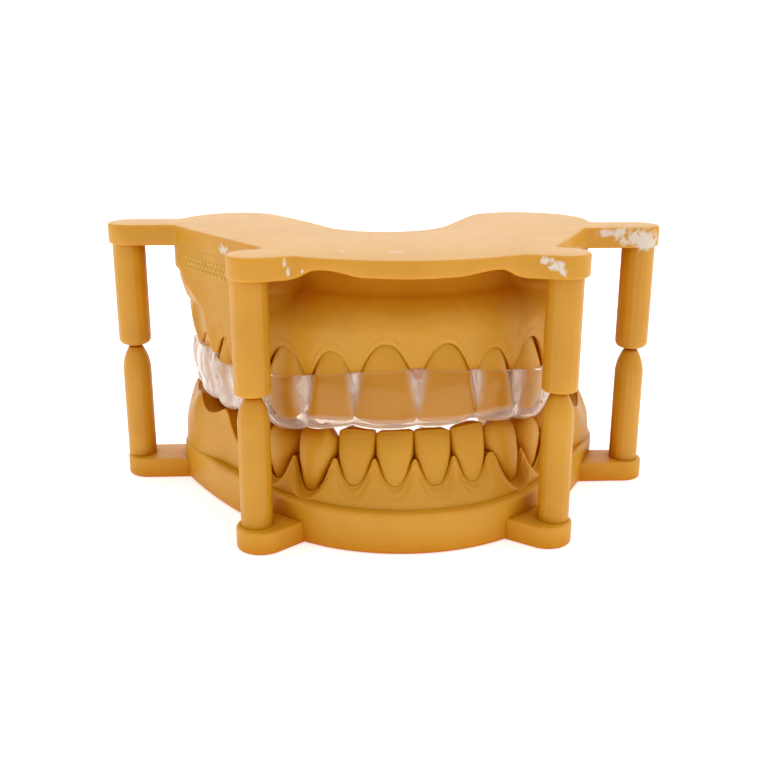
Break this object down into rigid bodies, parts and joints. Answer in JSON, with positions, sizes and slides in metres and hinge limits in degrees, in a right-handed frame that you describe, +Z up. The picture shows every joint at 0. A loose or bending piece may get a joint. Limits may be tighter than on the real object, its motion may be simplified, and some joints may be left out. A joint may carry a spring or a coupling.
{
  "type": "dental articulator",
  "caption": "Ochre resin upper and lower dental casts that meet on alignment posts at the corners, with a clear aligner fitted over the upper teeth.",
  "frame": {"origin": "centre of the footprint, on the surface that the lower base stands on", "axes": "+X to the right of a viewer who faces the front teeth; +Y from the front teeth to the back of the mouth; +Z up, from the lower cast to the upper cast"},
  "size_m": [0.0876, 0.0474, 0.0425],
  "materials": {
    "ochre_resin": "satin, slightly translucent printed resin with faint layer lines",
    "clear_plastic": "clear thermoformed sheet, glossy, a little milky where it is stretched"
  },
  "bodies": {
    "lower_cast": {"lower_base": "ochre_resin", "lower_front_left_post": "ochre_resin", "lower_front_right_post": "ochre_resin", "lower_rear_left_post": "ochre_resin", "lower_rear_right_post": "ochre_resin", "lower_gum": "ochre_resin", "lower_left_central_incisor": "ochre_resin", "lower_left_lateral_incisor": "ochre_resin", "lower_left_canine": "ochre_resin", "lower_left_first_premolar": "ochre_resin", "lower_left_second_premolar": "ochre_resin", "lower_left_first_molar": "ochre_resin", "lower_left_second_molar": "ochre_resin", "lower_right_central_incisor": "ochre_resin", "lower_right_lateral_incisor": "ochre_resin", "lower_right_canine": "ochre_resin", "lower_right_first_premolar": "ochre_resin", "lower_right_second_premolar": "ochre_resin", "lower_right_first_molar": "ochre_resin", "lower_right_second_molar": "ochre_resin"},
    "aligner": {"clear_aligner": "clear_plastic"},
    "upper_cast": {"upper_base": "ochre_resin", "upper_front_left_post": "ochre_resin", "upper_front_right_post": "ochre_resin", "upper_rear_left_post": "ochre_resin", "upper_rear_right_post": "ochre_resin", "upper_gum": "ochre_resin", "upper_left_central_incisor": "ochre_resin", "upper_left_lateral_incisor": "ochre_resin", "upper_left_canine": "ochre_resin", "upper_left_first_premolar": "ochre_resin", "upper_left_second_premolar": "ochre_resin", "upper_left_first_molar": "ochre_resin", "upper_left_second_molar": "ochre_resin", "upper_right_central_incisor": "ochre_resin", "upper_right_lateral_incisor": "ochre_resin", "upper_right_canine": "ochre_resin", "upper_right_first_premolar": "ochre_resin", "upper_right_second_premolar": "ochre_resin", "upper_right_first_molar": "ochre_resin", "upper_right_second_molar": "ochre_resin"}
  },
  "joints": [
    {"name": "aligner_lift", "type": "slide", "parent": "lower_cast", "child": "aligner", "axis": [0, 0, 1], "range_m": [0, 0.03]},
    {"name": "upper_pull_off", "type": "slide", "parent": "aligner", "child": "upper_cast", "axis": [0, 0, 1], "range_m": [0, 0.018]}
  ]
}
